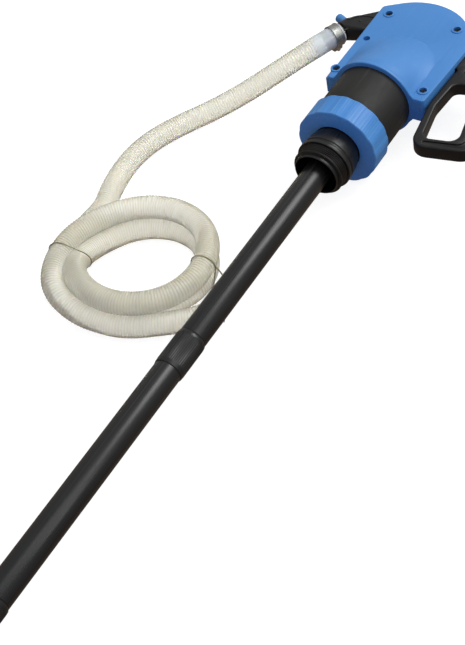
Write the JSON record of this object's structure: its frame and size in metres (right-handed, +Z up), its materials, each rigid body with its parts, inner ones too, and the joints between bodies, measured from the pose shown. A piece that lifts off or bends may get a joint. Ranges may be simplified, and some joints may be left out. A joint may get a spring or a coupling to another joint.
{
  "type": "lever hand pump for drums",
  "caption": "Lever hand pump for a drum: flat head on a piston barrel, threaded bung adapter, long sectional suction tube, swinging loop handle and a coiled clear delivery hose.",
  "frame": {"origin": "on the surface the pump lies on, below the middle of its box measured without the hose and its fittings", "axes": "+Y along the suction tube from the foot strainer to the pump head, +X towards the lever side, +Z up, square to the covers' flat faces"},
  "size_m": [0.3948, 1.2154, 0.097],
  "materials": {
    "blue_plastic": "satin",
    "black_plastic": "semi-gloss",
    "barrel_plastic": "matte",
    "steel": "bright",
    "screw_steel": "dark",
    "nylon": "matte",
    "rubber": "matte",
    "clear_pvc": "translucent",
    "wire_tie": "satin"
  },
  "bodies": {
    "pump": {"front_cover": "blue_plastic", "rear_cover": "blue_plastic", "cover_screws": "screw_steel", "barrel": "barrel_plastic", "barrel_cap": "black_plastic", "cap_seal": "rubber", "adapter_gasket": "rubber", "inlet_valve_cage": "nylon", "rod_seal": "rubber", "gland_nut": "black_plastic", "rack_guide": "nylon", "pivot_bushes": "nylon", "outlet_spout": "black_plastic", "spout_seal": "rubber", "upper_tube": "black_plastic", "middle_tube": "black_plastic", "lower_tube": "black_plastic", "upper_coupling": "black_plastic", "lower_coupling": "black_plastic", "foot_valve_body": "black_plastic", "ball_stop_pin": "steel", "foot_strainer": "black_plastic", "hose_clamp": "steel", "clamp_screw": "steel", "hose_run": "clear_pvc", "hose_coil": "clear_pvc", "hose_ties": "wire_tie"},
    "lever_arm": {"lever": "black_plastic", "sector_gear": "nylon", "sector_screws": "screw_steel", "pivot_pin": "steel"},
    "piston_assembly": {"piston": "nylon", "piston_seal": "rubber", "valve_stop": "steel", "piston_rod": "steel", "rod_nut": "steel", "rack": "nylon"},
    "piston_valve": {"piston_valve_ring": "rubber"},
    "inlet_valve": {"inlet_valve_disc": "rubber"},
    "foot_ball": {"foot_valve_ball": "nylon"},
    "ring_nut": {"ring_nut": "blue_plastic"},
    "bung_adapter": {"bung_adapter": "black_plastic"},
    "vent_plug": {"vent_plug": "blue_plastic"}
  },
  "joints": [
    {"name": "lever_swing", "type": "hinge", "parent": "pump", "child": "lever_arm", "pos_m": [0.03494, 0.52926, 0.0485], "axis": [0, 0, 1], "range_deg": [0, 60]},
    {"name": "piston_stroke", "type": "slide", "parent": "pump", "child": "piston_assembly", "axis": [0, 1, 0], "range_m": [-0.0446, 0]},
    {"name": "piston_valve_lift", "type": "slide", "parent": "piston_assembly", "child": "piston_valve", "axis": [0, 1, 0], "range_m": [0, 0.0024]},
    {"name": "inlet_valve_lift", "type": "slide", "parent": "pump", "child": "inlet_valve", "axis": [0, 1, 0], "range_m": [0, 0.0025]},
    {"name": "foot_ball_lift", "type": "slide", "parent": "pump", "child": "foot_ball", "axis": [0, 1, 0], "range_m": [0, 0.0045]},
    {"name": "ring_nut_turn", "type": "hinge", "parent": "pump", "child": "ring_nut", "pos_m": [-0.01656, 0.37227, 0.0485], "axis": [0, 1, 0], "continuous": true},
    {"name": "bung_adapter_turn", "type": "hinge", "parent": "pump", "child": "bung_adapter", "pos_m": [-0.01656, 0.33726, 0.0485], "axis": [0, 1, 0], "continuous": true},
    {"name": "vent_plug_pull", "type": "slide", "parent": "pump", "child": "vent_plug", "axis": [-0.9026, 0.4305, 0], "range_m": [0, 0.008]}
  ],
  "couplings": [
    {"joint": "piston_stroke", "follows": "lever_swing", "m_per_rad": -0.0425}
  ]
}
